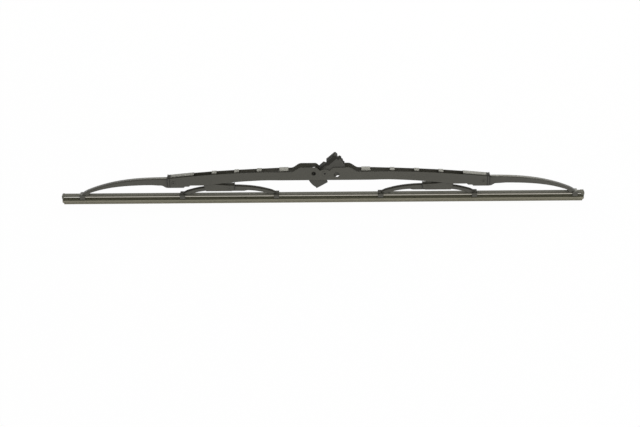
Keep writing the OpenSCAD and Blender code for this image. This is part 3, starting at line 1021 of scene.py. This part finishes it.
def make_world():
    """Even studio light that shows as white."""
    studio = settings().studio
    world = bpy.data.worlds.new("studio")
    bpy.context.scene.world = world
    world.use_nodes = True
    tree = world.node_tree
    link = tree.links.new
    height = separate(tree, add_node(tree, "ShaderNodeTexCoord").outputs["Generated"])["Z"]
    # gloss sees a white backdrop low down and a dim studio ceiling above it
    ceiling = add_node(
        tree,
        "ShaderNodeMapRange",
        {"From Min": 0.45, "From Max": 0.75, "To Min": 1.0, "To Max": 0.15},
    )
    link(height, ceiling.inputs["Value"])
    path = add_node(tree, "ShaderNodeLightPath")
    plain = compute(tree, "MAXIMUM", ceiling.outputs["Result"], path.outputs["Is Camera Ray"])
    white = add_node(tree, "ShaderNodeBackground", {"Color": (1, 1, 1, 1)})
    link(plain, white.inputs["Strength"])
    even = add_node(
        tree,
        "ShaderNodeMapRange",
        {"From Min": 0.0, "From Max": 1.0, "To Min": studio.ambient, "To Max": studio.overhead},
    )
    link(height, even.inputs["Value"])
    ambient = tree.nodes["Background"]
    ambient.inputs["Color"].default_value = (1, 1, 1, 1)
    link(even.outputs["Result"], ambient.inputs["Strength"])
    light = white_to_camera(
        tree, ambient.outputs["Background"], white.outputs["Background"], share=1.0
    )
    link(light, tree.nodes["World Output"].inputs["Surface"])


def make_lamp(name, place, size, power, tint=(1.0, 1.0, 1.0)):
    """Soft rectangular lamp that faces the pivot; its power is in watts."""
    lamp = bpy.data.lights.new(name, "AREA")
    lamp.shape = "RECTANGLE"
    lamp.size, lamp.size_y = size
    lamp.energy = power
    lamp.color = tint
    holder = bpy.data.objects.new(name, lamp)
    place = Vector(place)
    turn = (-place).to_track_quat("-Z", "Y").to_matrix().to_4x4()
    holder.matrix_world = Matrix.Translation(place) @ turn
    holder.visible_camera = False
    bpy.context.collection.objects.link(holder)


def make_camera():
    """Camera at the photograph's angle, with the pivot where the picture shows it."""
    studio = settings().studio
    camera = bpy.data.cameras.new("camera")
    camera.sensor_width = SENSOR_WIDTH
    camera.lens = studio.lens
    camera.clip_start = 0.05
    camera.clip_end = 50.0
    holder = bpy.data.objects.new("camera", camera)
    bpy.context.collection.objects.link(holder)
    back = Vector((0, -math.cos(studio.elevation), math.sin(studio.elevation)))
    facing = (-back).to_track_quat("-Z", "Y").to_matrix().to_4x4()
    lens_widths = studio.lens / SENSOR_WIDTH
    turned_left = math.atan(studio.pivot_right / lens_widths)
    tipped_down = math.atan(studio.pivot_up / lens_widths)
    holder.matrix_world = (
        Matrix.Translation(back * studio.distance)
        @ facing
        @ Matrix.Rotation(studio.roll, 4, "Z")
        @ Matrix.Rotation(-tipped_down, 4, "X")
        @ Matrix.Rotation(turned_left, 4, "Y")
    )
    bpy.context.scene.camera = holder


class WIPER_OT_studio(WiperStep, bpy.types.Operator):
    """Makes the floor, the lamps, the world and the camera"""

    bl_idname = "wiper.studio"
    bl_label = "Studio"

    def execute(self, context):
        make_floor()
        make_world()
        make_lamp(
            "back_softbox",
            place=(0.15, 1.63, 0.76),
            size=(1.4, 0.45),
            power=9,
            tint=(1.0, 0.99, 0.85),
        )
        make_lamp("front_softbox", place=(0.6, -1.5, 1.0), size=(1.6, 0.9), power=7)
        make_lamp("side_softbox", place=(1.6, -0.5, 0.5), size=(0.9, 0.9), power=2)
        make_camera()
        context.scene.view_settings.view_transform = "Standard"
        return {"FINISHED"}


STEPS = (
    WIPER_OT_rubber_strip,
    WIPER_OT_splines,
    WIPER_OT_pressed_frame,
    WIPER_OT_joints,
    WIPER_OT_adapter,
    WIPER_OT_studio,
)


class WIPER_PT_blade(bpy.types.Panel):
    """Sizes, finishes and steps of the wiper blade"""

    bl_label = "Wiper blade"
    bl_idname = "WIPER_PT_blade"
    bl_space_type = "VIEW_3D"
    bl_region_type = "UI"
    bl_category = "Wiper"

    def draw(self, context):
        for group in (settings().strip, settings().finish, settings().studio):
            box = self.layout.box()
            for name in group.bl_rna.properties.keys():
                if name not in {"rna_type", "name"}:
                    box.prop(group, name)
        for step in STEPS:
            self.layout.operator(step.bl_idname)


CLASSES = (WiperStripSizes, WiperFinish, WiperStudio, WiperSettings, *STEPS, WIPER_PT_blade)


def register():
    """Adds the blade's classes and settings to Blender."""
    for made in CLASSES:
        bpy.utils.register_class(made)
    bpy.types.Scene.wiper = PointerProperty(type=WiperSettings)


def unregister():
    """Removes them again."""
    del bpy.types.Scene.wiper
    for made in reversed(CLASSES):
        bpy.utils.unregister_class(made)


def main():
    """Builds the blade's looks in order."""
    register()
    bpy.ops.wiper.rubber_strip()
    bpy.ops.wiper.splines()
    bpy.ops.wiper.pressed_frame()
    bpy.ops.wiper.joints()
    bpy.ops.wiper.adapter()
    bpy.ops.wiper.studio()


if __name__ == "__main__":
    main()
